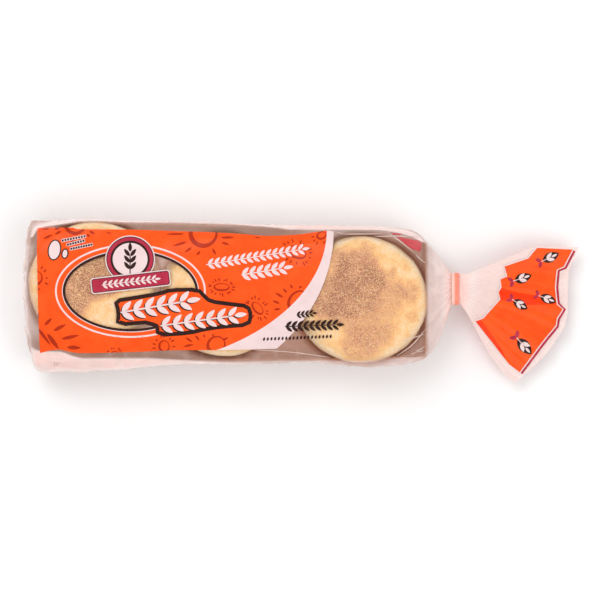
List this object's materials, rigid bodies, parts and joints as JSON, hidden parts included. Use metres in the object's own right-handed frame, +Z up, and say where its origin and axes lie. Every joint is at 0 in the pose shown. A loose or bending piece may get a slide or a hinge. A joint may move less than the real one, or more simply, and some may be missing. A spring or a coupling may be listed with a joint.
{
  "type": "bagged english muffins",
  "caption": "Clear printed film bag of English muffins in a board tray, gathered and taped at the neck, with a fanned tail.",
  "frame": {"origin": "middle of the pack's outline on the surface that it lies on", "axes": "+X along the pack from the sealed end of the bag to its fanned tail, +Z up through the printed front"},
  "size_m": [0.407, 0.1206, 0.058],
  "materials": {
    "film": "clear thin film, glossy, milky and faintly pink where it is folded",
    "neck_tape": "satin salmon tape",
    "print_orange": "glossy printed film",
    "print_dark_orange": "glossy printed film",
    "print_white": "glossy printed film",
    "print_black": "glossy printed film",
    "print_crimson": "glossy printed film",
    "muffin": "matt griddled crumb, cream at the rim and toasted in the middle",
    "cornmeal": "matt meal",
    "tray_board": "uncoated mauve-brown board"
  },
  "bodies": {
    "root": {"bag": "film", "neck_band": "neck_tape"}
  },
  "joints": []
}
